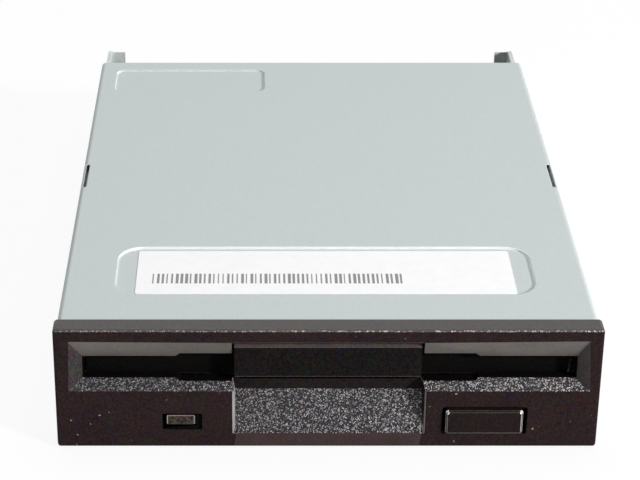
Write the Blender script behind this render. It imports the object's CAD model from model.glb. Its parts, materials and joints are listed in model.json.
# %% [markdown]
# An internal floppy disk drive, dressed for the camera.
# The solids come from the CAD model and are called the frame. Each of its nodes is one real piece,
# or all the small pieces of one kind, such as the screws. This lesson gives each piece its finish
# and replaces it with a version that has rounded edges and finer detail. All lengths are metres,
# so MM turns a millimetre into Blender's unit. The front of the drive faces -Y.

import json
import math

import bpy
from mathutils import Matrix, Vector


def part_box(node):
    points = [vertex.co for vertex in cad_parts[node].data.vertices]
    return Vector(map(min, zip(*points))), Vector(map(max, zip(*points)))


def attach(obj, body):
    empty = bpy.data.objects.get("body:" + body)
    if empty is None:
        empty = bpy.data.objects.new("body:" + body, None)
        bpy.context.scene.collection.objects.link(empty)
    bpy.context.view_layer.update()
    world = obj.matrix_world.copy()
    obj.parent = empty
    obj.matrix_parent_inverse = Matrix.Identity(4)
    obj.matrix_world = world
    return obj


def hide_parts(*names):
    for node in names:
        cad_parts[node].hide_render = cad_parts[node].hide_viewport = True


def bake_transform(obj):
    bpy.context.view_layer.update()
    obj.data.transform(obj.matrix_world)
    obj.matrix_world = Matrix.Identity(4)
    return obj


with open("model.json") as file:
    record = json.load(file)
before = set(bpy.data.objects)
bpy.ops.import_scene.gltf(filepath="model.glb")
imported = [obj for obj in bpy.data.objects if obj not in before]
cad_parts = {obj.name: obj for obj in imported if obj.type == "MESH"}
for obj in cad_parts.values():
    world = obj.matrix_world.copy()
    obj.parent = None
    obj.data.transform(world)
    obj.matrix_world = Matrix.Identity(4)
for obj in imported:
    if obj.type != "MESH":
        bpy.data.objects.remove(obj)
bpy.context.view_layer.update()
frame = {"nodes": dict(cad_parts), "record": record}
nodes = frame["nodes"]
MM = 0.001
FRONT = -72.5  # Y of the bezel's face in millimetres

# %% [markdown]
# The camera stands where the picture was taken from. The place, the angle and the lens were found
# by fitting the known width and height of the bezel to the picture: a long lens, 0.4 metres from
# the bezel, looking down by 27 degrees. The drive stands a little to the right of the lens axis, so
# a small shift of the frame brings it to the middle.

# %% Camera
lens_data = bpy.data.cameras.new("product_camera")
lens_data.lens = 115.7
lens_data.sensor_width = 36
lens_data.shift_x = 0.1005
lens_data.clip_start = 0.01
camera = bpy.data.objects.new("product_camera", lens_data)
camera.location = (-13.4 * MM, -401.2 * MM, 210.9 * MM)
camera.rotation_euler = (math.radians(63.06), 0, 0)
bpy.context.scene.collection.objects.link(camera)
bpy.context.scene.camera = camera
bpy.context.scene.view_settings.view_transform = "Standard"
print("camera at", tuple(round(v, 3) for v in camera.location))

# %% [markdown]
# Node materials are built by hand here, one node at a time. Four small helpers keep this readable.
# srgb() turns a colour picked from a screen into the linear light that the shader works with, and
# toned() makes it darker or lighter. put() adds a node and fills its sockets. new_finish() starts
# a material with its roughness, its share of metal and the strength of its gloss.


# %% Helpers for node materials
def srgb(red, green, blue):
    linear = [((v / 255 + 0.055) / 1.055) ** 2.4 if v > 10 else v / 3295 for v in (red, green, blue)]
    return (*linear, 1)


def toned(colour, factor):
    return [channel * factor for channel in colour[:3]] + [1]


def put(tree, kind, **sockets):
    made = tree.nodes.new("ShaderNode" + kind)
    for name, value in sockets.items():
        key = int(name[1:]) if name[1:].isdigit() else name.replace("_", " ")
        socket = made.inputs[key]
        if isinstance(value, bpy.types.NodeSocket):
            tree.links.new(value, socket)
        else:
            socket.default_value = value
    return made


def new_finish(name, roughness, metallic=0.0, specular=0.5):
    material = bpy.data.materials.new(name)
    material.use_nodes = True
    tree = material.node_tree
    skin = tree.nodes["Principled BSDF"]
    skin.inputs["Roughness"].default_value = roughness
    skin.inputs["Metallic"].default_value = metallic
    skin.inputs["Specular IOR Level"].default_value = specular
    print("finish", name)
    return material, tree, skin


# %% [markdown]
# A white table under a soft light is the usual setting for such a picture. The floor is plain
# white paint. For rays that come from the camera, from a shiny surface or through a clear one, most
# of it glows evenly, as a lit backdrop would. So the background turns white, and only a faint
# shadow stays. The sky does the same: it lights the scene softly, and looks white.

# %% Floor and world
GLOW_SHARE = 0.9
SOFT_LIGHT = 0.28
bpy.ops.object.select_all(action="DESELECT")
bpy.ops.mesh.primitive_plane_add(size=4, location=(0, 0, -0.4 * MM))
floor = bpy.context.object
floor.name = "table"


def seen_directly(tree):
    path = tree.nodes.new("ShaderNodeLightPath")
    first = put(tree, "Math", _0=path.outputs["Is Camera Ray"], _1=path.outputs["Is Glossy Ray"])
    first.operation = "MAXIMUM"
    both = put(tree, "Math", _0=first.outputs[0], _1=path.outputs["Is Transmission Ray"])
    both.operation = "MAXIMUM"
    return both.outputs[0]


paint, tree, skin = new_finish("white_table", 0.9, specular=0.2)
skin.inputs["Base Color"].default_value = (0.95, 0.95, 0.95, 1)
glow = put(tree, "Emission", Color=(1, 1, 1, 1), Strength=1.0)
share = put(tree, "Math", _0=seen_directly(tree), _1=GLOW_SHARE)
share.operation = "MULTIPLY"
blend = put(tree, "MixShader", _0=share.outputs[0], _1=skin.outputs[0], _2=glow.outputs[0])
tree.links.new(blend.outputs[0], tree.nodes["Material Output"].inputs[0])
floor.data.materials.append(paint)

world = bpy.data.worlds.new("studio")
bpy.context.scene.world = world
world.use_nodes = True
sky = world.node_tree
soft = sky.nodes["Background"]
soft.inputs[0].default_value = (0.98, 0.99, 1.0, 1)
soft.inputs[1].default_value = SOFT_LIGHT
white = put(sky, "Background", Color=(1, 1, 1, 1), Strength=1.0)
mixed = put(sky, "MixShader", _0=seen_directly(sky), _1=soft.outputs[0], _2=white.outputs[0])
sky.links.new(mixed.outputs[0], sky.nodes["World Output"].inputs[0])
print("a white table under a soft sky of strength", SOFT_LIGHT)

# %% [markdown]
# Two lamps are enough. A wide soft box above lights the cover evenly. A small one stands in front at
# the right, about 50 degrees to the side, like a flash held away from the camera. Being small, it
# makes the grain of the plastic sparkle and throws a short shadow into the right end of the scoop.


# %% Lamps
def soft_box(name, place, aim, width, height, power):
    data = bpy.data.lights.new(name, "AREA")
    data.shape = "RECTANGLE"
    data.size, data.size_y, data.energy = width, height, power
    lamp = bpy.data.objects.new(name, data)
    lamp.location = place
    lamp.rotation_euler = (Vector(aim) - Vector(place)).to_track_quat("-Z", "Y").to_euler()
    bpy.context.scene.collection.objects.link(lamp)
    print("lamp", name, "of", power, "W")


soft_box("overhead", (0.05, 0.16, 0.8), (0, 0, 0), 0.7, 0.5, 2.8)
soft_box("right_front", (0.84, -0.7, 0.47), (0, -0.05, 0.01), 0.1, 0.1, 14)

# %% [markdown]
# Patterns are measured in millimetres on the object itself, so a grain keeps its real size
# wherever it lands. The Object coordinates are scaled by a thousand for this. Noise at several
# sizes gives the small differences in colour, gloss and height that real surfaces have. The Bevel
# node bends the normal near an edge, and where it differs from the flat normal, edges() finds the
# place where a real piece is rubbed.


# %% Helpers for patterns
def in_mm(tree, stretch=(1, 1, 1)):
    spot = tree.nodes.new("ShaderNodeTexCoord")
    scaled = put(tree, "Mapping", Vector=spot.outputs["Object"], Scale=[s / MM for s in stretch])
    return scaled.outputs[0]


def grain(tree, spot, size, detail=3.0):
    return put(tree, "TexNoise", Vector=spot, Scale=1 / size, Detail=detail).outputs["Fac"]


def levels(tree, value, low, high, to_low, to_high):
    made = put(tree, "MapRange", Value=value, From_Min=low, From_Max=high, To_Min=to_low, To_Max=to_high)
    return made.outputs[0]


def clouds(tree, spot, size, detail=3.0, low=0.3, high=0.7):
    return levels(tree, grain(tree, spot, size, detail), low, high, 0, 1)


def calc(tree, operation, first, second=0.0):
    made = put(tree, "Math", _0=first, _1=second)
    made.operation = operation
    return made.outputs[0]


def mix_colour(tree, share, first, second):
    made = tree.nodes.new("ShaderNodeMix")
    made.data_type = "RGBA"
    for index, value in ((0, share), (6, first), (7, second)):
        if isinstance(value, bpy.types.NodeSocket):
            tree.links.new(value, made.inputs[index])
        else:
            made.inputs[index].default_value = value
    return made.outputs[2]


def rounded_normal(tree, radius):
    made = put(tree, "Bevel", Radius=radius * MM)
    made.samples = 4
    return made.outputs[0]


def edges(tree, rounded, start=0.002, full=0.08):
    flat = tree.nodes.new("ShaderNodeNewGeometry").outputs["Normal"]
    turned = put(tree, "VectorMath", _0=rounded, _1=flat)
    turned.operation = "DOT_PRODUCT"
    return levels(tree, calc(tree, "SUBTRACT", 1.0, turned.outputs["Value"]), start, full, 0, 1)


def bumpy(tree, skin, height, depth, normal=None):
    made = put(tree, "Bump", Height=height, Distance=depth * MM, Strength=1.0)
    if normal is not None:
        tree.links.new(normal, made.inputs["Normal"])
    tree.links.new(made.outputs[0], skin.inputs["Normal"])


# %% [markdown]
# The bezel, the door and the button are moulded in black plastic. The mould is spark eroded, so
# most faces have a fine pebble grain, and each pebble has its own faint tint. A Voronoi texture
# makes the pebbles. On a slope that faces the lamp some of them throw back sparks, more so towards
# the right, where the lamp is, and a few hold a grain of light dust.


# %% Finish: grained black plastic
DUST = srgb(214, 208, 202)
SPARK_START = 0.66  # a pebble sparks when its number, drawn between 0 and 1, is higher than this
FAR_SIDE = 50  # the sparks change between this far to the left and to the right, in millimetres


def grained_plastic(name, colour, worn, size=0.3, depth=0.03, roughness=0.5, gloss=0.2, tint=0.02,
                    sparks=0.0, dust=0.0):
    material, tree, skin = new_finish(name, roughness, specular=gloss)
    spot = in_mm(tree)
    cloud = clouds(tree, spot, 7)
    rounded = rounded_normal(tree, 0.12)
    wear = levels(tree, grain(tree, spot, 0.6), 0.3, 0.7, 0.2, 1)
    rub = calc(tree, "MULTIPLY", edges(tree, rounded), wear)
    shade = mix_colour(tree, cloud, toned(colour, 0.8), toned(colour, 1.25))
    pebbles = put(tree, "TexVoronoi", Vector=spot, Scale=1 / size)
    shade = mix_colour(tree, tint, shade, pebbles.outputs["Color"])
    chance = put(tree, "SeparateColor", Color=pebbles.outputs["Color"]).outputs[0]
    if sparks:
        side = put(tree, "SeparateXYZ", Vector=spot).outputs["X"]
        share = levels(tree, chance, SPARK_START, 1, 0, sparks)
        share = calc(tree, "MULTIPLY", share, levels(tree, side, -FAR_SIDE, FAR_SIDE, 0.66, 1.55))
        spark = mix_colour(tree, 0.08, worn, pebbles.outputs["Color"])
        shade = mix_colour(tree, share, shade, spark)
    if dust:
        shade = mix_colour(tree, levels(tree, chance, 1 - dust, 1, 0, 0.5), shade, DUST)
    tree.links.new(mix_colour(tree, rub, shade, worn), skin.inputs["Base Color"])
    height = calc(tree, "ADD", pebbles.outputs["Distance"], grain(tree, spot, size * 1.7))
    bumpy(tree, skin, height, depth, rounded)
    tree.links.new(levels(tree, cloud, 0, 1, roughness - 0.05, roughness + 0.07), skin.inputs["Roughness"])
    return material


# %% [markdown]
# The top face and the upper bevel came out of a smooth part of the mould, so they mirror the white
# studio and look grey. The inside of the slot hardly gets any light. So each zone of the front has
# its own finish of the one plastic. The first colour is the plastic, the second its worn edges or
# its sparks. They were measured in the picture, then corrected until the zone came out alike.

# %% The plastic's finishes
bezel_black = grained_plastic("bezel_black", srgb(26, 10, 11), srgb(52, 42, 42),
                              gloss=0.06, tint=0.014, dust=0.0016)
bezel_slope = grained_plastic("bezel_slope", srgb(24, 20, 21), srgb(204, 200, 204),
                              0.2, 0.08, 0.45, 0.25, sparks=0.66)
scoop_grain = grained_plastic("scoop_grain", srgb(22, 17, 18), srgb(212, 208, 214),
                              0.2, 0.08, 0.45, 0.2, sparks=0.5)
bezel_rim = grained_plastic("bezel_rim", srgb(60, 55, 53), srgb(180, 177, 172),
                            0.25, 0.05, 0.45, 0.4, sparks=0.9)
slot_end = grained_plastic("slot_end", srgb(27, 18, 16), srgb(60, 52, 50),
                           0.3, 0.05, 0.5, 0.2, tint=0.04)
slot_end_right = grained_plastic("slot_end_right", srgb(50, 40, 38), srgb(74, 64, 60),
                                 0.3, 0.05, 0.5, 0.2, tint=0.05)
bezel_smooth = grained_plastic("bezel_smooth", srgb(73, 67, 62), srgb(90, 86, 82),
                               0.25, 0.004, 0.45, 0.5, tint=0.04)
bezel_top = grained_plastic("bezel_top", srgb(45, 39, 37), srgb(80, 75, 73),
                            0.25, 0.004, 0.45, 0.42, tint=0.03)
bright_edge = grained_plastic("bright_edge", srgb(124, 121, 118), srgb(200, 198, 196),
                              0.3, 0.02, 0.35, 0.6, tint=0.05)
door_black = grained_plastic("door_black", srgb(8, 5, 4), srgb(28, 24, 22), gloss=0.03, tint=0.01)
door_top = grained_plastic("door_top", srgb(50, 39, 35), srgb(74, 62, 57),
                           0.3, 0.02, 0.5, 0.3, tint=0.04)
bezel_low = grained_plastic("bezel_low", srgb(52, 39, 39), srgb(62, 52, 52), gloss=0.06, tint=0.014)
web_brown = grained_plastic("web_brown", srgb(20, 13, 13), srgb(34, 27, 27),
                            gloss=0.04, roughness=0.7, tint=0.01)
hidden_black = grained_plastic("hidden_black", srgb(7, 6, 6), srgb(10, 9, 9),
                               gloss=0.02, roughness=0.8, tint=0.003)
button_black = grained_plastic("button_black", srgb(20, 8, 8), srgb(40, 34, 34), gloss=0.06, tint=0.01)
glint = grained_plastic("glint", srgb(236, 234, 230), srgb(250, 250, 250), gloss=0.6, tint=0.02)
button_rim = grained_plastic("button_rim", srgb(176, 172, 168), srgb(200, 196, 192),
                             gloss=0.5, tint=0.04)

# %% [markdown]
# The cover is cut and pressed from steel sheet that was painted before, in a matt light grey. The
# paint has a very fine, flat orange peel. Along cut edges and bends it is rubbed a touch lighter,
# more in some places than in others. The walls of the pressed trays catch the light, so they get a
# lighter tone of the same paint.


# %% Finish: painted steel sheet
def painted_sheet(name, colour, worn):
    material, tree, skin = new_finish(name, 0.55, specular=0.4)
    spot = in_mm(tree)
    speck = clouds(tree, spot, 0.35, 4, 0.35, 0.65)
    patch = clouds(tree, spot, 30, 1)
    rounded = rounded_normal(tree, 0.3)
    shade = mix_colour(tree, speck, colour, toned(colour, 0.93))
    shade = mix_colour(tree, calc(tree, "MULTIPLY", patch, 0.3), shade, toned(colour, 0.97))
    wear = levels(tree, grain(tree, spot, 1.5), 0.35, 0.6, 0.25, 1)
    rub = calc(tree, "MULTIPLY", edges(tree, rounded), wear)
    tree.links.new(mix_colour(tree, rub, shade, worn), skin.inputs["Base Color"])
    tree.links.new(levels(tree, patch, 0, 1, 0.6, 0.66), skin.inputs["Roughness"])
    bumpy(tree, skin, grain(tree, spot, 0.5, 2), 0.01, rounded)
    return material


cover_grey = painted_sheet("cover_grey", srgb(194, 201, 201), srgb(222, 228, 228))
tray_line = painted_sheet("tray_line", srgb(238, 242, 242), srgb(252, 253, 253))

# %% [markdown]
# The chassis and the inner parts are zinc-plated steel. Rolling leaves fine lines along the
# sheet, and the plating turns cloudy with faint crystals. Metal is mostly gloss, so the lines go
# into the roughness and a very shallow bump, and the clouds into the roughness and the colour.
# Other metals differ in colour, in gloss and in the way their lines run: along a rolled sheet, but
# around a ground rod or a turned bearing.


# %% Finish: plated and plain metals
def rolled_metal(name, colour, roughness, lines=(1, 1, 1), cloud=6.0, edge=0.2, metallic=1.0):
    material, tree, skin = new_finish(name, roughness, metallic=metallic)
    spot = in_mm(tree)
    streaks = grain(tree, in_mm(tree, lines), 0.25, 4)
    mottle = grain(tree, spot, cloud, 5)
    crystals = put(tree, "TexVoronoi", Vector=spot, Scale=1 / (cloud * 0.6)).outputs["Color"]
    tone = calc(tree, "ADD", calc(tree, "MULTIPLY", mottle, 0.6), calc(tree, "MULTIPLY", crystals, 0.4))
    rounded = rounded_normal(tree, edge)
    shade = mix_colour(tree, levels(tree, tone, 0.3, 0.7, 0, 1), toned(colour, 0.82), colour)
    bright = [min(1, channel) for channel in toned(colour, 1.25)]
    tree.links.new(mix_colour(tree, edges(tree, rounded), shade, bright), skin.inputs["Base Color"])
    gloss = calc(tree, "ADD", levels(tree, streaks, 0.3, 0.7, roughness - 0.06, roughness + 0.06),
                 levels(tree, mottle, 0.3, 0.7, -0.05, 0.06))
    tree.links.new(gloss, skin.inputs["Roughness"])
    bumpy(tree, skin, streaks, 0.004, rounded)
    return material


zinc_steel = rolled_metal("zinc_steel", srgb(206, 213, 211),
                          0.45, lines=(1, 0.05, 1), cloud=5, edge=0.2, metallic=0.3)
bright_steel = rolled_metal("bright_steel", srgb(196, 198, 200),
                            0.28, lines=(1, 0.04, 1), cloud=9, edge=0.15)
ground_steel = rolled_metal("ground_steel", srgb(214, 215, 217), 0.14, lines=(1, 8, 1), cloud=12, edge=0.1)
turned_brass = rolled_metal("turned_brass", srgb(205, 178, 112),
                            0.25, lines=(0.2, 0.2, 6), cloud=8, edge=0.1)
yellow_zinc = rolled_metal("yellow_zinc", srgb(204, 192, 150), 0.3, cloud=1.5, edge=0.1)
spring_wire = rolled_metal("spring_wire", srgb(178, 180, 184), 0.25, cloud=2, edge=0.03)
gold_plate = rolled_metal("gold_plate", srgb(216, 180, 96), 0.22, cloud=2, edge=0.05)
tin_plate = rolled_metal("tin_plate", srgb(204, 205, 204), 0.3, cloud=1.5, edge=0.05)

# %% [markdown]
# The plastic parts inside, the chips, the ferrite magnets, the ceramic heads and the bronze bush
# are all moulded or pressed smooth. One recipe serves them: a slight cloud in the colour, uneven
# gloss, lighter worn edges and a shallow grain, which is deeper on ferrite and bronze.


# %% Finish: smooth mouldings and magnets
def moulded(name, colour, roughness, worn=1.6, depth=0.006, size=0.8):
    material, tree, skin = new_finish(name, roughness)
    spot = in_mm(tree)
    rounded = rounded_normal(tree, 0.15)
    cloud = clouds(tree, spot, 3)
    shade = mix_colour(tree, cloud, colour, toned(colour, 0.86))
    light = [min(1, channel) for channel in toned(colour, worn)]
    tree.links.new(mix_colour(tree, edges(tree, rounded), shade, light), skin.inputs["Base Color"])
    tree.links.new(levels(tree, cloud, 0, 1, roughness - 0.05, roughness + 0.08), skin.inputs["Roughness"])
    bumpy(tree, skin, grain(tree, spot, size), depth, rounded)
    return material


black_moulding = moulded("black_moulding", srgb(38, 38, 40), 0.4)
grey_moulding = moulded("grey_moulding", srgb(52, 52, 56), 0.45)
white_moulding = moulded("white_moulding", srgb(226, 223, 210), 0.42, worn=1.1)
chip_epoxy = moulded("chip_epoxy", srgb(34, 34, 36), 0.55, worn=1.8, depth=0.01, size=0.15)
ferrite = moulded("ferrite", srgb(62, 60, 60), 0.5, worn=1.5, depth=0.015, size=0.3)
head_ceramic = moulded("head_ceramic", srgb(196, 190, 172), 0.25, worn=1.2)
sintered_bronze = moulded("sintered_bronze", srgb(170, 140, 84), 0.45, worn=1.3, depth=0.02, size=0.2)
lamp_resin = moulded("lamp_resin", srgb(128, 176, 92), 0.15, worn=1.2)

# %% [markdown]
# A circuit board is glass fibre under a coloured mask. Its copper tracks show through the mask as
# lighter lines that stand up a little. Voronoi cells measured by the Chebychev distance have
# straight sides, so they divide the board into blocks. Chance gives the tracks of each block their
# direction and leaves some blocks bare. Round dots from a finer Voronoi pattern are the pads.

# %% Finish: circuit boards
BLOCK, TRACK, PAD = 9, 1, 3  # distances between blocks, tracks and pads, in millimetres


def circuit_board(name, mask, copper):
    material, tree, skin = new_finish(name, 0.35)
    spot = in_mm(tree)
    place = put(tree, "SeparateXYZ", Vector=spot)
    blocks = put(tree, "TexVoronoi", Vector=spot, Scale=1 / BLOCK)
    blocks.distance = "CHEBYCHEV"
    chance = put(tree, "SeparateColor", Color=blocks.outputs["Color"])
    way = calc(tree, "GREATER_THAN", chance.outputs[0], 0.5)
    across = put(tree, "Mix", _0=way, _2=place.outputs["X"], _3=place.outputs["Y"]).outputs[0]
    tracks = levels(tree, calc(tree, "PINGPONG", across, TRACK / 2), 0.17, 0.22, 1, 0)
    tracks = calc(tree, "MULTIPLY", tracks, calc(tree, "GREATER_THAN", chance.outputs[1], 0.3))
    pads = put(tree, "TexVoronoi", Vector=spot, Scale=1 / PAD).outputs["Distance"]
    tracks = calc(tree, "MAXIMUM", tracks, levels(tree, pads, 0.14, 0.17, 1, 0))
    fibre = grain(tree, spot, 0.5, 3)
    base = mix_colour(tree, levels(tree, fibre, 0.35, 0.65, 0, 1), mask, toned(mask, 0.8))
    tree.links.new(mix_colour(tree, tracks, base, copper), skin.inputs["Base Color"])
    tree.links.new(levels(tree, fibre, 0.3, 0.7, 0.28, 0.42), skin.inputs["Roughness"])
    bumpy(tree, skin, calc(tree, "ADD", tracks, fibre), 0.03, rounded_normal(tree, 0.1))
    return material


control_green = circuit_board("control_green", srgb(28, 84, 52), srgb(58, 122, 78))
motor_brown = circuit_board("motor_brown", srgb(118, 96, 52), srgb(150, 122, 70))

# %% [markdown]
# The flat cables inside are copper tracks between two amber films. The tracks run along a cable and
# lie side by side, one every millimetre. PINGPONG folds the place across the cable into a wave,
# and the two levels cut this wave into track and gap. One cable runs from side to side, so its
# tracks are counted along Y. The others are counted along X.


# %% Finish: flat cables
def flat_cable(name, across):
    material, tree, skin = new_finish(name, 0.3)
    spot = in_mm(tree)
    place = put(tree, "SeparateXYZ", Vector=spot)
    wave = calc(tree, "PINGPONG", place.outputs[across], TRACK / 2)
    tracks = levels(tree, wave, 0.22, 0.28, 0, 1)
    cloud = clouds(tree, spot, 3)
    film = mix_colour(tree, cloud, srgb(132, 78, 26), srgb(150, 92, 34))
    tree.links.new(mix_colour(tree, tracks, film, srgb(188, 122, 58)), skin.inputs["Base Color"])
    tree.links.new(levels(tree, cloud, 0, 1, 0.24, 0.36), skin.inputs["Roughness"])
    bumpy(tree, skin, tracks, 0.02, rounded_normal(tree, 0.05))
    return material


cable_along = flat_cable("cable_along", "X")
cable_across = flat_cable("cable_across", "Y")

# %% [markdown]
# The coils of the motor are wound from copper wire. Single turns are too small to model, so a Wave
# texture with bands along Z draws them: dark between two turns, bright on top of each, and raised
# by the same wave.

# %% Finish: wound copper
coil_copper, tree, skin = new_finish("coil_copper", 0.25, metallic=0.9)
winding = put(tree, "TexWave", Vector=in_mm(tree), Scale=0.8, Distortion=1.5, Detail=1.0)
winding.bands_direction = "Z"
wire = mix_colour(tree, winding.outputs["Fac"], srgb(120, 52, 24), srgb(214, 116, 62))
tree.links.new(wire, skin.inputs["Base Color"])
bumpy(tree, skin, winding.outputs["Fac"], 0.12)

# %% [markdown]
# The label is a white film, 0.1 mm thick, with a plain row of uneven bars that say nothing. The
# bars lie along X, one every 0.9 mm. FLOOR counts them, white noise turns each count into a width
# by chance, and FRACT says where between two bars a point lies.

# %% Finish: the label's film
BAR_STEP = 0.9
BAR_ROW = (("X", -33.6, 15.2), ("Y", FRONT + 19.3, FRONT + 23.3))

label_white, tree, skin = new_finish("label_white", 0.35)
spot = in_mm(tree)
place = put(tree, "SeparateXYZ", Vector=spot)
count = calc(tree, "DIVIDE", place.outputs["X"], BAR_STEP)
chance = tree.nodes.new("ShaderNodeTexWhiteNoise")
chance.noise_dimensions = "1D"
tree.links.new(calc(tree, "FLOOR", count), chance.inputs["W"])
width = levels(tree, chance.outputs["Value"], 0, 1, 0.25, 0.7)
dark = calc(tree, "LESS_THAN", calc(tree, "FRACT", count), width)
for axis, low, high in BAR_ROW:
    dark = calc(tree, "MULTIPLY", dark, calc(tree, "GREATER_THAN", place.outputs[axis], low))
    dark = calc(tree, "MULTIPLY", dark, calc(tree, "LESS_THAN", place.outputs[axis], high))
film = mix_colour(tree, clouds(tree, spot, 2), srgb(245, 245, 244), srgb(240, 241, 240))
film = mix_colour(tree, calc(tree, "MULTIPLY", dark, 0.8), film, srgb(60, 58, 62))
tree.links.new(film, skin.inputs["Base Color"])
bumpy(tree, skin, grain(tree, spot, 0.9, 2), 0.004, rounded_normal(tree, 0.05))

# %% [markdown]
# The lamp's window is smoky brown plastic, cloudy on the outside. A quarter of the light passes
# through it, and its worn edges are lighter.

# %% Finish: the lamp's window
lamp_glass, tree, skin = new_finish("lamp_glass", 0.3, specular=0.15)
spot = in_mm(tree)
smoke = mix_colour(tree, clouds(tree, spot, 0.6, low=0.4, high=0.6), srgb(78, 61, 50), srgb(22, 14, 9))
rounded = rounded_normal(tree, 0.12)
tree.links.new(mix_colour(tree, edges(tree, rounded), smoke, srgb(120, 114, 108)), skin.inputs["Base Color"])
skin.inputs["Transmission Weight"].default_value = 0.25
skin.inputs["IOR"].default_value = 1.49
bumpy(tree, skin, grain(tree, spot, 0.7), 0.04, rounded)

# %% [markdown]
# One list gives each node the finish of its main material, as on the real drive: plated steel for
# the sheet parts, ground steel for rods and shafts, brass and bronze for the bearings, black and
# white mouldings for the plastic parts.

# %% Finish of each node
finish_of = {
    "front_bezel": bezel_black, "slot_door": door_black, "eject_button": button_black,
    "led_lens": lamp_glass, "led": lamp_resin, "top_cover": cover_grey, "cover_label": label_white,
    "chassis": zinc_steel, "disk_holder": bright_steel, "holder_pins": ground_steel,
    "eject_slider": bright_steel, "slider_springs": spring_wire, "door_spring": spring_wire,
    "lever_spring": spring_wire, "arm_spring": spring_wire, "shutter_lever": bright_steel,
    "lever_pivot": turned_brass, "motor_board": motor_brown, "motor_parts": chip_epoxy,
    "board_screws": yellow_zinc, "stator_core": bright_steel, "stator_coils": coil_copper,
    "bearing_housing": turned_brass, "spindle_bush": sintered_bronze, "rotor_cup": zinc_steel,
    "rotor_magnet": ferrite, "spindle_hub": turned_brass, "chuck_magnet": ferrite,
    "spindle_shaft": ground_steel, "drive_pin": ground_steel, "index_sensor": black_moulding,
    "head_carriage": black_moulding, "lower_head": head_ceramic, "upper_arm": grey_moulding,
    "upper_head": head_ceramic, "arm_pivot_pin": ground_steel, "guide_rods": ground_steel,
    "rod_clamps": bright_steel, "clamp_screws": yellow_zinc, "stepper_motor": bright_steel,
    "stepper_bracket": bright_steel, "lead_screw": ground_steel, "screw_bearing": white_moulding,
    "main_board": control_green, "board_chips": chip_epoxy, "signal_header": black_moulding,
    "signal_pins": gold_plate, "power_header": white_moulding, "power_pins": tin_plate,
    "switch_bodies": black_moulding, "protect_plunger": white_moulding,
    "density_plunger": white_moulding, "disk_in_plunger": white_moulding,
    "track_sensor": black_moulding, "cable_sockets": white_moulding, "motor_cable": cable_along,
    "stepper_cable": cable_across, "head_cable": cable_along,
}
print("no finish for", sorted(set(nodes) - set(finish_of)))

# %% [markdown]
# No real edge is perfectly sharp, and the thin bright line that light draws along a rounded edge is
# what makes a rendered part believable. So each node is copied, its loose triangles are merged
# into closed skins, flat areas are joined into single faces, and a Bevel modifier rounds every
# edge by the radius that its making leaves: more on mouldings, little on sheet metal. The Weighted
# Normal modifier then keeps the large faces flat. An operator acts on all that is selected, so
# select_only() and select_none() come first.


# %% Helpers: a copy with rounded edges
body_of = {node: body for body, held in frame["record"]["behaviour"]["bodies"].items() for node in held}
SHARP, SMOOTH = math.radians(30), math.radians(32)


def select_only(piece):
    bpy.ops.object.select_all(action="DESELECT")
    piece.select_set(True)
    bpy.context.view_layer.objects.active = piece


def select_none(kind):
    bpy.ops.object.mode_set(mode="EDIT")
    bpy.ops.mesh.select_mode(type=kind)
    bpy.ops.mesh.select_all(action="DESELECT")
    bpy.ops.object.mode_set(mode="OBJECT")


def dressed_copy(node):
    piece = bpy.data.objects.new(node + "_skin", nodes[node].data.copy())
    bpy.context.scene.collection.objects.link(piece)
    select_only(piece)
    bpy.ops.object.mode_set(mode="EDIT")
    bpy.ops.mesh.select_all(action="SELECT")
    bpy.ops.mesh.remove_doubles(threshold=0.002 * MM)
    bpy.ops.mesh.dissolve_limited(angle_limit=math.radians(1))
    bpy.ops.object.mode_set(mode="OBJECT")
    bpy.ops.mesh.customdata_custom_splitnormals_clear()
    piece.data.materials.clear()
    piece.data.materials.append(finish_of[node])
    return piece


def apply_modifier(piece, kind, **settings):
    made = piece.modifiers.new(kind.lower(), kind)
    for name, value in settings.items():
        setattr(made, name, value)
    bpy.context.view_layer.objects.active = piece
    bpy.ops.object.modifier_apply(modifier=made.name)


def round_edges(piece, radius, steps=2):
    apply_modifier(piece, "BEVEL", width=radius * MM, segments=steps, limit_method="ANGLE",
                   angle_limit=SHARP, use_clamp_overlap=False)
    select_only(piece)
    bpy.ops.object.shade_smooth_by_angle(angle=SMOOTH)
    apply_modifier(piece, "WEIGHTED_NORMAL", keep_sharp=True)


def stands_for(piece, node):
    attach(piece, body_of[node])
    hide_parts(node)


# %% [markdown]
# A few lines lie some tenths of a millimetre away from where the picture shows them. move_points()
# shifts the points that pass a test. The test gets x, the depth d behind the face of the bezel, and
# the height z, all in millimetres. cut_faces() cuts all faces along a plane, so that one part can
# be moved or painted by itself.


# %% Helpers: moving and cutting
def move_points(piece, shift, test):
    select_none("VERT")
    for point in piece.data.vertices:
        x, y, z = (c / MM for c in point.co)
        point.select = test(x, y - FRONT, z)
    bpy.ops.object.mode_set(mode="EDIT")
    bpy.ops.transform.translate(value=[c * MM for c in shift])
    bpy.ops.object.mode_set(mode="OBJECT")


def cut_faces(piece, place, normal):
    select_only(piece)
    bpy.ops.object.mode_set(mode="EDIT")
    bpy.ops.mesh.select_all(action="SELECT")
    bpy.ops.mesh.bisect(plane_co=[c * MM for c in place], plane_no=normal, threshold=0.05 * MM)
    bpy.ops.object.mode_set(mode="OBJECT")


# %% [markdown]
# Most nodes need nothing but rounded edges, so a loop does them all, sorted by radius. The label
# lies in its tray a little further back than in the solid.

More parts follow.
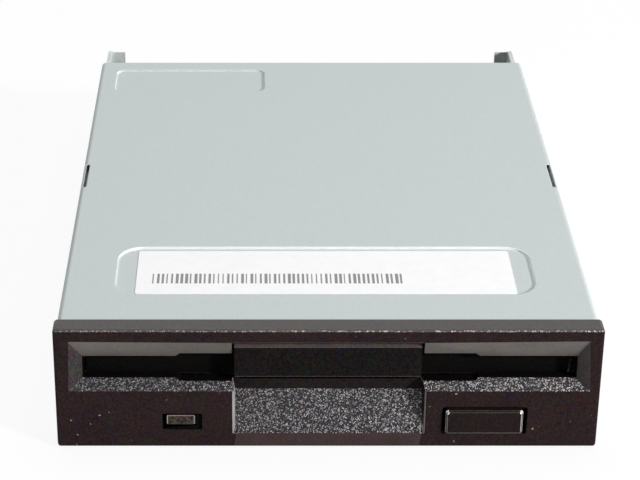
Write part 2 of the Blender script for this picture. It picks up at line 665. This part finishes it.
# %% Rounded edges
LABEL_SHIFT = 0.9
radius_of = {
    0.12: ["board_screws", "bearing_housing", "spindle_hub", "rotor_cup", "stepper_motor",
           "head_carriage", "upper_arm", "signal_header", "power_header", "switch_bodies",
           "index_sensor", "track_sensor", "lower_head", "upper_head", "spindle_shaft", "guide_rods",
           "led", "stator_coils"],
    0.08: ["chassis", "disk_holder", "eject_slider", "shutter_lever", "lever_pivot", "stepper_bracket",
           "holder_pins", "drive_pin", "chuck_magnet", "rotor_magnet", "spindle_bush", "arm_pivot_pin",
           "clamp_screws", "screw_bearing", "signal_pins", "power_pins", "protect_plunger",
           "density_plunger", "disk_in_plunger", "motor_parts", "board_chips", "rod_clamps",
           "cable_sockets"],
    0.05: ["motor_board", "main_board", "stator_core"],
    0.03: ["cover_label", "motor_cable", "stepper_cable"],
}
for radius, group in radius_of.items():
    for node in group:
        piece = dressed_copy(node)
        if node == "cover_label":
            move_points(piece, (0, LABEL_SHIFT, 0), lambda x, d, z: True)
        round_edges(piece, radius)
        stands_for(piece, node)
print(sum(len(group) for group in radius_of.values()), "nodes with rounded edges")

# %% [markdown]
# The stepper turns a screw whose groove pushes the finger of the carriage along, 3.75 mm for each
# turn. The solid is a plain bar. So the bar is cut in four places, and its part between the inner
# two cuts is made as thin as the bottom of the groove.

# %% Core of the lead screw
SCREW_X, SCREW_Z = 24, 9.2
GROOVE_BOTTOM, THREAD_TOP = 1.15, 1.5
SHOULDER = 0.3
screw_low, screw_high = (corner[1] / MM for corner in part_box("lead_screw"))
thread_low, thread_high = screw_low + 5, screw_high - 7
core = dressed_copy("lead_screw")
for y in (thread_low, thread_low + SHOULDER, thread_high - SHOULDER, thread_high):
    cut_faces(core, (0, y, 0), (0, 1, 0))
select_none("VERT")
for point in core.data.vertices:
    point.select = thread_low + SHOULDER / 2 < point.co.y / MM < thread_high - SHOULDER / 2
bpy.ops.object.mode_set(mode="EDIT")
thinner = GROOVE_BOTTOM / THREAD_TOP
bpy.ops.transform.resize(value=(thinner, 1, thinner), center_override=(SCREW_X * MM, 0, SCREW_Z * MM))
bpy.ops.object.mode_set(mode="OBJECT")
print("core from", round(thread_low, 2), "to", round(thread_high, 2), "mm")

# %% [markdown]
# Across its ridge, the thread is a small trapezium. It is drawn beside the axis at the origin: a
# square is stretched, its outer end is made narrower, and its face is deleted, which leaves a ring
# of four edges. The rear end of the thread lies a whole number of turns behind the groove in which
# the finger of the carriage sits.

# %% Outline of the thread
PITCH, RIDGE = 3.75, 2.8
FINGER_Y = 25.25  # where the finger of the carriage stands at rest
RUN_OUT = 0.5
SINK, UNDER = 0.09, 0.01  # the thread goes this far into the core and ends this far under THREAD_TOP
groove_middle = (PITCH + RIDGE) / 2
room = thread_high - RUN_OUT - RIDGE - FINGER_Y + groove_middle
last = FINGER_Y - groove_middle + PITCH * math.floor(room / PITCH)
turns = int((last - thread_low - RUN_OUT) / PITCH)
middle = ((SINK + UNDER - GROOVE_BOTTOM - THREAD_TOP) / 2 * MM, RIDGE / 2 * MM, 0)
height = THREAD_TOP - GROOVE_BOTTOM + SINK - UNDER
bpy.ops.object.select_all(action="DESELECT")
bpy.ops.mesh.primitive_plane_add(size=1 * MM, location=middle)
thread = bpy.context.object
bpy.ops.object.mode_set(mode="EDIT")
bpy.ops.transform.resize(value=(height, RIDGE, 1), center_override=middle)
bpy.ops.object.mode_set(mode="OBJECT")
bpy.ops.object.transform_apply(location=True, rotation=True, scale=True)
select_none("VERT")
for point in thread.data.vertices:
    point.select = point.co.x < middle[0]
bpy.ops.object.mode_set(mode="EDIT")
bpy.ops.transform.resize(value=(1, 0.8, 1), center_override=middle)
bpy.ops.mesh.select_all(action="SELECT")
bpy.ops.mesh.delete(type="ONLY_FACE")
bpy.ops.object.mode_set(mode="OBJECT")
print("outline with", len(thread.data.edges), "edges for", turns, "turns")

# %% [markdown]
# The Screw modifier carries the outline along the axis while it turns. The angle is positive and the
# offset negative, so the thread is left-handed and runs forwards from its rear end. Its two ends
# are filled, and it is joined to the core.

# %% Thread of the lead screw
apply_modifier(thread, "SCREW", axis="Y", angle=math.tau, screw_offset=-PITCH * MM, iterations=turns,
               steps=28, render_steps=28)
bpy.ops.object.mode_set(mode="EDIT")
bpy.ops.mesh.select_mode(type="VERT")
bpy.ops.mesh.select_all(action="SELECT")
bpy.ops.mesh.remove_doubles(threshold=0.001 * MM)
bpy.ops.mesh.fill_holes(sides=4)
bpy.ops.mesh.select_all(action="SELECT")
bpy.ops.mesh.normals_make_consistent(inside=False)
bpy.ops.object.mode_set(mode="OBJECT")
thread.location = (SCREW_X * MM, last * MM, SCREW_Z * MM)
select_only(thread)
bpy.ops.object.transform_apply(location=True, rotation=True, scale=True)
thread.data.materials.clear()
core.select_set(True)
bpy.context.view_layer.objects.active = core
bpy.ops.object.join()
round_edges(core, 0.04)
stands_for(core, "lead_screw")
print("lead screw with", len(core.data.polygons), "faces")

# %% [markdown]
# Springs are wound from round wire. Their solids have six flat sides, so a Subdivision Surface
# modifier turns them into smooth wire. Each spring hangs between two parts that move against each
# other. So one end follows the first part, the other end the second, and the coils between them
# spread evenly, from the start point to the end point.

# %% Springs
springs = {
    "slider_springs": ("frame", "slider", 1, False), "lever_spring": ("holder", "lever", 1, False),
    "door_spring": ("frame", "door", 0, False), "arm_spring": ("carriage", "arm", 0, True),
}
for node, (held_by, pulls, axis, turned) in springs.items():
    piece = dressed_copy(node)
    apply_modifier(piece, "SUBSURF", levels=1, render_levels=1)
    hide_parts(node)
    low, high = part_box(node)
    start, end = [0, 0, 0], [0, 0, 0]
    start[axis], end[axis] = (high[axis], low[axis]) if turned else (low[axis], high[axis])
    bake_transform(piece)
print(len(springs), "kinds of springs")

# %% [markdown]
# The cable of the heads is fixed at one end and moves with the carriage at the other. It is one
# strip of film, so it is blended: the part near its socket stays, the part under the carriage
# goes along, and the loop between them stretches a little.

# %% Cable of the heads
strip = dressed_copy("head_cable")
bpy.ops.object.shade_smooth_by_angle(angle=SMOOTH)
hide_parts("head_cable")
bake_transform(strip)
print("cable of the heads with", len(strip.data.polygons), "faces")

# %% [markdown]
# The front is what everyone sees, so the bezel gets more care. Its lines are the edges of the
# slot's bevelled mouth, of the slot and its taller middle, and of the finger notch with its scoop.
# Each is moved to where the picture shows it. The bezel is cut at both sides of the door, so that
# the faces between can get a finish of their own.

# %% The bezel's lines
MOUTH_HIGH, MIDDLE_HIGH, SLOT_HIGH = 23.3, 19.8, 19.05
MOUTH_LOW, MIDDLE_LOW, SLOT_LOW = 12.2, 13.75, 14.4
MOUTH_END, SLOT_END = 48.3, 46.1  # half of the mouth's and of the slot's width
NOTCH, NOTCH_ROOF, SCOOP_LOW = 17.8, 22.8, 2.8
DOOR_END = 17.45
BEZEL_DEPTH = 4.1
NEAR = 0.03

bezel = dressed_copy("front_bezel")
for x in (-DOOR_END, DOOR_END):
    cut_faces(bezel, (x, 0, 0), (1, 0, 0))
for line, lift in (
    (MOUTH_HIGH, -0.7), (MIDDLE_HIGH, -0.52), (SLOT_HIGH, -0.55),
    (MOUTH_LOW, 0.1), (MIDDLE_LOW, -0.18), (SLOT_LOW, -0.3),
):
    move_points(bezel, (0, 0, lift),
                lambda x, d, z: abs(z - line) < NEAR and abs(x) < MOUTH_END + 0.1 and d < BEZEL_DEPTH)
move_points(bezel, (0, 0, -0.4),
            lambda x, d, z: abs(z - NOTCH_ROOF) < NEAR and abs(x) < MOUTH_END + 0.1 and d < 3.5)
for corner, low, high, shift in (
    (-MOUTH_END, 20, 24, 0.4), (-MOUTH_END, 12, 14, 0.2), (-SLOT_END, 14, 20, 0.5), (-NOTCH, 2, 12.4, 0.45),
    (MOUTH_END, 20, 24, -0.2), (MOUTH_END, 12, 14, 0.5), (SLOT_END, 14, 20, 0.3), (NOTCH, 2, 12.4, 0.35),
):
    move_points(bezel, (shift, 0, 0),
                lambda x, d, z: abs(x - corner) < 0.55 and low < z < high and d < BEZEL_DEPTH)
move_points(bezel, (0, 0, 0.3),
            lambda x, d, z: abs(x) < NOTCH + 0.7 and abs(z - SCOOP_LOW) < 0.05 and d < 1)
print(len(bezel.data.vertices), "points in the bezel")

# %% [markdown]
# The recess around the lamp's window is a pocket half a millimetre deep. Its lower edge and its two
# ends are moved too, and then all edges of the bezel are rounded.

# %% The lamp's recess
RECESS = (-31, -23.8, 3, 7.4)  # left, right, low and high limits of a box around it
left, right, low, high = RECESS
move_points(bezel, (0, 0, -0.55), lambda x, d, z: left < x < right and 4.3 < z < 4.72 and d < 0.6)
move_points(bezel, (0.5, 0, 0), lambda x, d, z: right - 0.6 < x < right and low < z < high and d < 0.6)
move_points(bezel, (-0.25, 0, 0), lambda x, d, z: left < x < left + 0.7 and low < z < high and d < 0.6)
round_edges(bezel, 0.16, steps=3)
print(len(bezel.data.polygons), "faces with rounded edges")

# %% [markdown]
# Now faces are chosen by where they lie and where they point, and get the finish of their zone:
# smooth on top and on the upper bevel of the slot, sparkling on the slopes, dark inside the slot
# and bright along small edges. A zone's test gets the distance x from the middle, the depth d, the
# height z and the direction n in which the face points. A later zone paints over an earlier one.


# %% The bezel's zones
def paint_faces(piece, finish, test):
    piece.data.materials.append(finish)
    index = len(piece.data.materials) - 1
    for face in piece.data.polygons:
        x, y, z = (c / MM for c in face.center)
        if test(abs(x), y - FRONT, z, face.normal):
            face.material_index = index


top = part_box("front_bezel")[1][2] / MM
for finish, test in (
    # the top face and the edge in front of it
    (bezel_top, lambda x, d, z, n: n.z > 0.6 and z > top - 0.5),
    (bezel_rim, lambda x, d, z, n: 0.12 < n.z < 0.62 and z > top - 0.6 and d < 0.3),
    # the bevels of the mouth, and the scoop
    (bezel_smooth, lambda x, d, z, n: -0.6 < n.z < -0.2 and n.y < -0.3 and 18 < z < 22.9 and d < 2.3),
    (bezel_slope, lambda x, d, z, n: n.z > 0.2 and n.y < -0.3 and 12 < z < 14.6 and d < 3.3 and x > NOTCH),
    (scoop_grain, lambda x, d, z, n: n.z > 0.2 and n.y < -0.3 and 2.6 < z < 11.2 and d < 3.3 and x < NOTCH),
    # both ends of the mouth
    (slot_end, lambda x, d, z, n: n.x > 0.3 and n.y < -0.3 and 12 < z < 23.4 and 43 < x < 48.4),
    (slot_end_right, lambda x, d, z, n: n.x < -0.3 and n.y < -0.3 and 12 < z < 23.4 and 43 < x < 48.9),
    # inside the slot, behind the notch, and the web below the door
    (hidden_black, lambda x, d, z, n: d > 1.7 and 13 < z < 21 and 18.5 < x < 47),
    (hidden_black, lambda x, d, z, n: d > 1.7 and 11 < z < 23 and x < NOTCH),
    (web_brown, lambda x, d, z, n: n.y < -0.9 and d > 1.7 and 10.5 < z < 13.6 and x < NOTCH),
    # the edge above the door, and the face below the scoop
    (door_top, lambda x, d, z, n: n.z < -0.2 and n.y < -0.3 and 21.5 < z < 23 and x < 17.4),
    (bezel_low, lambda x, d, z, n: n.y < -0.9 and d < 0.05 and z < 3.2 and x < 17.4),
    # the lamp's recess, and the upright edges of the notch
    (hidden_black, lambda x, d, z, n: 0.2 < d < 0.6 and 3.5 < z < 7.6 and 23 < x < 31.5),
    (bright_edge,
     lambda x, d, z, n: 0.3 < abs(n.x) < 0.95 and n.y < -0.2 and abs(x - NOTCH) < 0.5 and z < 14.6),
):
    paint_faces(bezel, finish, test)
stands_for(bezel, "front_bezel")
print("bezel with", len(bezel.data.materials), "finishes")

# %% [markdown]
# The door hangs on two pins and closes the slot from behind. Its proud middle part has a chamfer at
# the top that catches the light, and its wings, seen deep in the slot, stay dark. Four lines are
# moved, in this order: the top of the chamfer, the upper line of the face, the rolled lower edge of
# the face, and the lower edge of the wings.

# %% Door
door = dressed_copy("slot_door")
move_points(door, (0, 0, -0.2), lambda x, d, z: abs(x) < DOOR_END and z > 22)
move_points(door, (0, 0, -0.25), lambda x, d, z: abs(x) < DOOR_END and 21 < z < 21.6 and d < 1.2)
move_points(door, (0, 0, -0.35), lambda x, d, z: abs(x) < DOOR_END and 14.9 < z < 16 and d < 5.2)
move_points(door, (0, 0, -0.3), lambda x, d, z: z < 14)
round_edges(door, 0.1)
paint_faces(door, hidden_black, lambda x, d, z, n: d > 2.5)
paint_faces(door, door_top, lambda x, d, z, n: n.z > 0.4 and n.y < -0.3 and x < NOTCH and z > 20)
paint_faces(door, door_top, lambda x, d, z, n: n.z < -0.3 and n.y < -0.3 and x < NOTCH and z < 16)
stands_for(door, "slot_door")
print("door with", len(door.data.polygons), "faces")

# %% [markdown]
# The button fills its hole with a thin dark gap around it. Its rounded rim catches the light, and
# its two upper corners glint. Only the head of the button is reshaped, not the shank behind it.

# %% Button
BUTTON_X, HEAD_DEPTH = 29.4, 6.2
button = dressed_copy("eject_button")
move_points(button, (0, 0, 0.45), lambda x, d, z: d < HEAD_DEPTH and z > 7)
move_points(button, (0, 0, 0.2), lambda x, d, z: d < HEAD_DEPTH and z < 4.2)
move_points(button, (-0.25, 0, 0), lambda x, d, z: d < HEAD_DEPTH and x > 36)
round_edges(button, 0.16, steps=3)
paint_faces(button, button_rim, lambda x, d, z, n: -0.85 < n.y < -0.5 and d < -0.6)
paint_faces(button, slot_end, lambda x, d, z, n: -0.97 < n.y and n.z > 0.4 and d < -0.3)
paint_faces(button, glint,
            lambda x, d, z, n: -0.97 < n.y < -0.15 and z > 7.8 and abs(x - BUTTON_X) > 6.6 and d < -0.2)
stands_for(button, "eject_button")
print("button with", len(button.data.polygons), "faces")

# %% [markdown]
# The lamp's window gets a narrow raised frame: its front face, the one with the lowest Y, is inset,
# and the inner part is pushed in by a tenth of a millimetre.

# %% Lamp window
window = dressed_copy("led_lens")
select_none("FACE")
min(window.data.polygons, key=lambda face: face.center.y).select = True
bpy.ops.object.mode_set(mode="EDIT")
bpy.ops.mesh.inset(thickness=0.22 * MM, depth=-0.1 * MM)
bpy.ops.object.mode_set(mode="OBJECT")
round_edges(window, 0.05)
paint_faces(window, bright_edge, lambda x, d, z, n: d < 0.45 and -0.95 < n.y < -0.1 and n.z < 0.3)
stands_for(window, "led_lens")
print("window with", len(window.data.polygons), "faces")

# %% [markdown]
# The cover is bent from one sheet with its trays pressed in, so its edges are soft: the paint
# flows over them. The label's tray and the rear tray are moved a little to the rear. Only points
# near the top are touched, because the side walls pass below the trays. The walls of the trays get
# the lighter tone.

# %% The cover
cover = dressed_copy("top_cover")
cover_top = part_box("top_cover")[1][2] / MM
near_top = cover_top - 1.5
move_points(cover, (0, LABEL_SHIFT, 0), lambda x, d, z: abs(x) < 41 and 13 < d < 34 and z > near_top)
move_points(cover, (0, 1.1, 0), lambda x, d, z: -47 < x < -10 and 100 < d < 126.2 and z > near_top)
round_edges(cover, 0.14, steps=3)
tray_wall = cover_top - 0.5
paint_faces(cover, tray_line,
            lambda x, d, z, n: -0.97 < n.y < -0.15 and 13 < d < 126 and x < 47 and z > tray_wall)
paint_faces(cover, tray_line,
            lambda x, d, z, n: n.x < -0.15 and -0.1 < n.z < 0.97 and 13 < d < 36 and x < 41 and z > tray_wall)
stands_for(cover, "top_cover")
